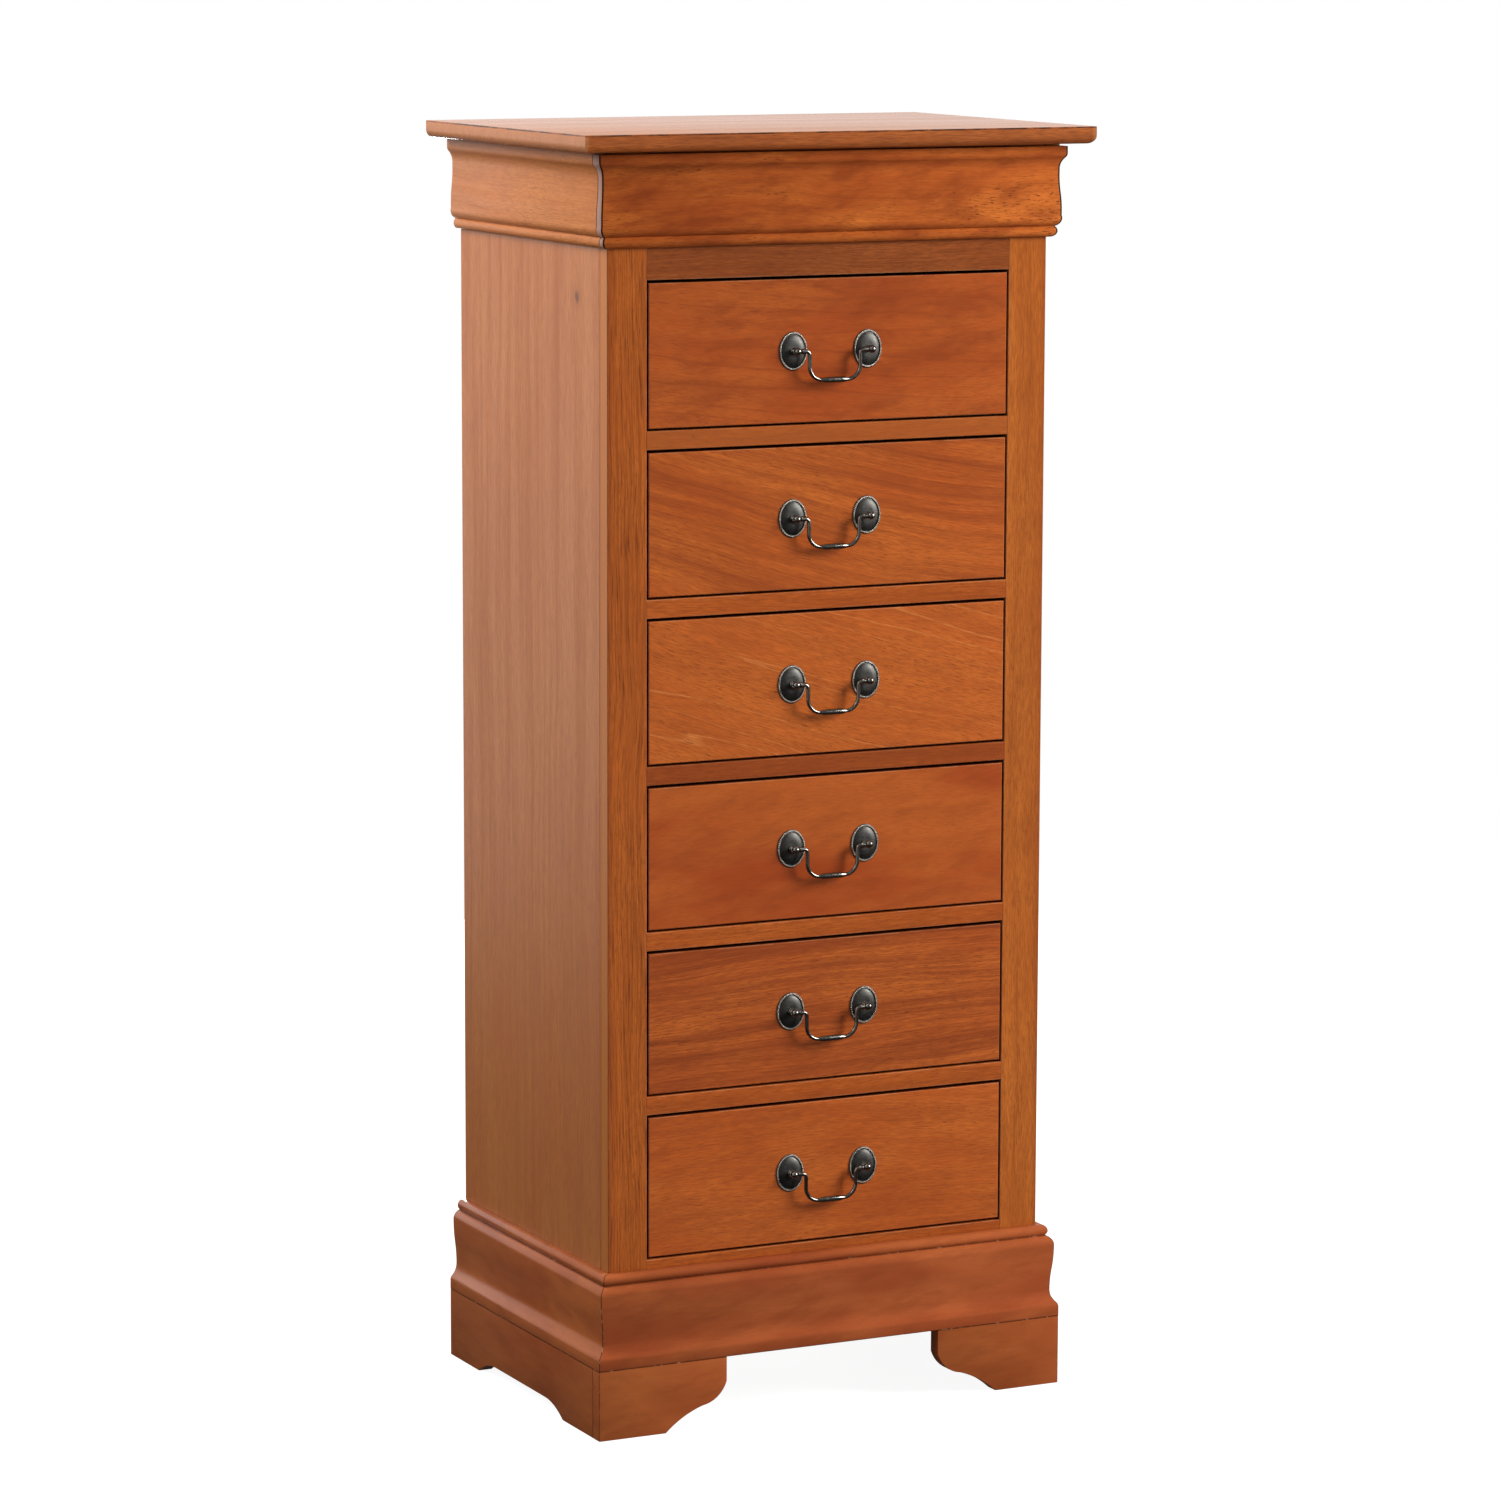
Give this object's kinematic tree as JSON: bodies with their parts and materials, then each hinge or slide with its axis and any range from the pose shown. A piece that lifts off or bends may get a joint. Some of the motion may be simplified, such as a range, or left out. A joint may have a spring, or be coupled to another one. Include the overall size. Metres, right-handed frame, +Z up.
{
  "type": "tall narrow chest of drawers",
  "caption": "Tall narrow wooden chest with a moulded plinth and frieze, inset drawers on wooden runners with swinging bail pulls, and a hidden drawer behind the frieze.",
  "frame": {"origin": "on the floor, under the middle of the top board's outline", "axes": "+Z up, the drawers face -Y, +X is to the right of someone standing in front of the chest"},
  "size_m": [0.562, 0.391, 1.295],
  "materials": {
    "case_wood": "satin lacquer over warm reddish stain",
    "front_wood": "satin lacquer over warm reddish stain",
    "inner_wood": "planed, unstained",
    "plywood": "sanded sheet",
    "pull_metal": "antiqued dark, bright where worn"
  },
  "bodies": {
    "case": {"back_panel": "plywood", "back_rail": "inner_wood", "base_moulding_front": "case_wood", "base_moulding_left": "case_wood", "base_moulding_right": "case_wood", "bottom_panel": "inner_wood", "bottom_rail": "case_wood", "corner_blocks": "inner_wood", "crown_moulding_left": "case_wood", "crown_moulding_right": "case_wood", "divider_rails": "case_wood", "drawer_runners_left": "inner_wood", "drawer_runners_right": "inner_wood", "drawer_stops": "inner_wood", "front_foot_left": "case_wood", "front_foot_right": "case_wood", "plinth_side_left": "case_wood", "plinth_side_right": "case_wood", "rear_foot_braces": "inner_wood", "side_panel_left": "case_wood", "side_panel_right": "case_wood", "stile_left": "case_wood", "stile_right": "case_wood", "top_board": "case_wood", "top_cleats": "inner_wood", "top_rail": "case_wood", "top_stretcher": "case_wood"},
    "frieze_drawer": {"frieze_drawer_front": "front_wood", "frieze_drawer_box": "inner_wood", "frieze_drawer_bottom": "plywood"},
    "drawer_1": {"drawer_1_front": "front_wood", "drawer_1_box": "inner_wood", "drawer_1_bottom": "plywood", "drawer_1_pull": "pull_metal"},
    "bail_1": {"drawer_1_bail": "pull_metal"},
    "drawer_2": {"drawer_2_front": "front_wood", "drawer_2_box": "inner_wood", "drawer_2_bottom": "plywood", "drawer_2_pull": "pull_metal"},
    "bail_2": {"drawer_2_bail": "pull_metal"},
    "drawer_3": {"drawer_3_front": "front_wood", "drawer_3_box": "inner_wood", "drawer_3_bottom": "plywood", "drawer_3_pull": "pull_metal"},
    "bail_3": {"drawer_3_bail": "pull_metal"},
    "drawer_4": {"drawer_4_front": "front_wood", "drawer_4_box": "inner_wood", "drawer_4_bottom": "plywood", "drawer_4_pull": "pull_metal"},
    "bail_4": {"drawer_4_bail": "pull_metal"},
    "drawer_5": {"drawer_5_front": "front_wood", "drawer_5_box": "inner_wood", "drawer_5_bottom": "plywood", "drawer_5_pull": "pull_metal"},
    "bail_5": {"drawer_5_bail": "pull_metal"},
    "drawer_6": {"drawer_6_front": "front_wood", "drawer_6_box": "inner_wood", "drawer_6_bottom": "plywood", "drawer_6_pull": "pull_metal"},
    "bail_6": {"drawer_6_bail": "pull_metal"}
  },
  "joints": [
    {"name": "frieze_drawer_slide", "type": "slide", "parent": "case", "child": "frieze_drawer", "axis": [0, -1, 0], "range_m": [0, 0.26]},
    {"name": "drawer_1_slide", "type": "slide", "parent": "case", "child": "drawer_1", "axis": [0, -1, 0], "range_m": [0, 0.26]},
    {"name": "drawer_2_slide", "type": "slide", "parent": "case", "child": "drawer_2", "axis": [0, -1, 0], "range_m": [0, 0.26]},
    {"name": "drawer_3_slide", "type": "slide", "parent": "case", "child": "drawer_3", "axis": [0, -1, 0], "range_m": [0, 0.26]},
    {"name": "drawer_4_slide", "type": "slide", "parent": "case", "child": "drawer_4", "axis": [0, -1, 0], "range_m": [0, 0.26]},
    {"name": "drawer_5_slide", "type": "slide", "parent": "case", "child": "drawer_5", "axis": [0, -1, 0], "range_m": [0, 0.26]},
    {"name": "drawer_6_slide", "type": "slide", "parent": "case", "child": "drawer_6", "axis": [0, -1, 0], "range_m": [0, 0.26]},
    {"name": "bail_1_swing", "type": "hinge", "parent": "drawer_1", "child": "bail_1", "pos_m": [0, -0.1727, 1.0783], "axis": [-1, 0, 0], "range_deg": [-14, 194]},
    {"name": "bail_2_swing", "type": "hinge", "parent": "drawer_2", "child": "bail_2", "pos_m": [0, -0.1727, 0.9124], "axis": [-1, 0, 0], "range_deg": [-14, 194]},
    {"name": "bail_3_swing", "type": "hinge", "parent": "drawer_3", "child": "bail_3", "pos_m": [0, -0.1727, 0.7465], "axis": [-1, 0, 0], "range_deg": [-14, 194]},
    {"name": "bail_4_swing", "type": "hinge", "parent": "drawer_4", "child": "bail_4", "pos_m": [0, -0.1727, 0.5806], "axis": [-1, 0, 0], "range_deg": [-14, 194]},
    {"name": "bail_5_swing", "type": "hinge", "parent": "drawer_5", "child": "bail_5", "pos_m": [0, -0.1727, 0.4147], "axis": [-1, 0, 0], "range_deg": [-14, 194]},
    {"name": "bail_6_swing", "type": "hinge", "parent": "drawer_6", "child": "bail_6", "pos_m": [0, -0.1727, 0.2488], "axis": [-1, 0, 0], "range_deg": [-14, 194]}
  ]
}
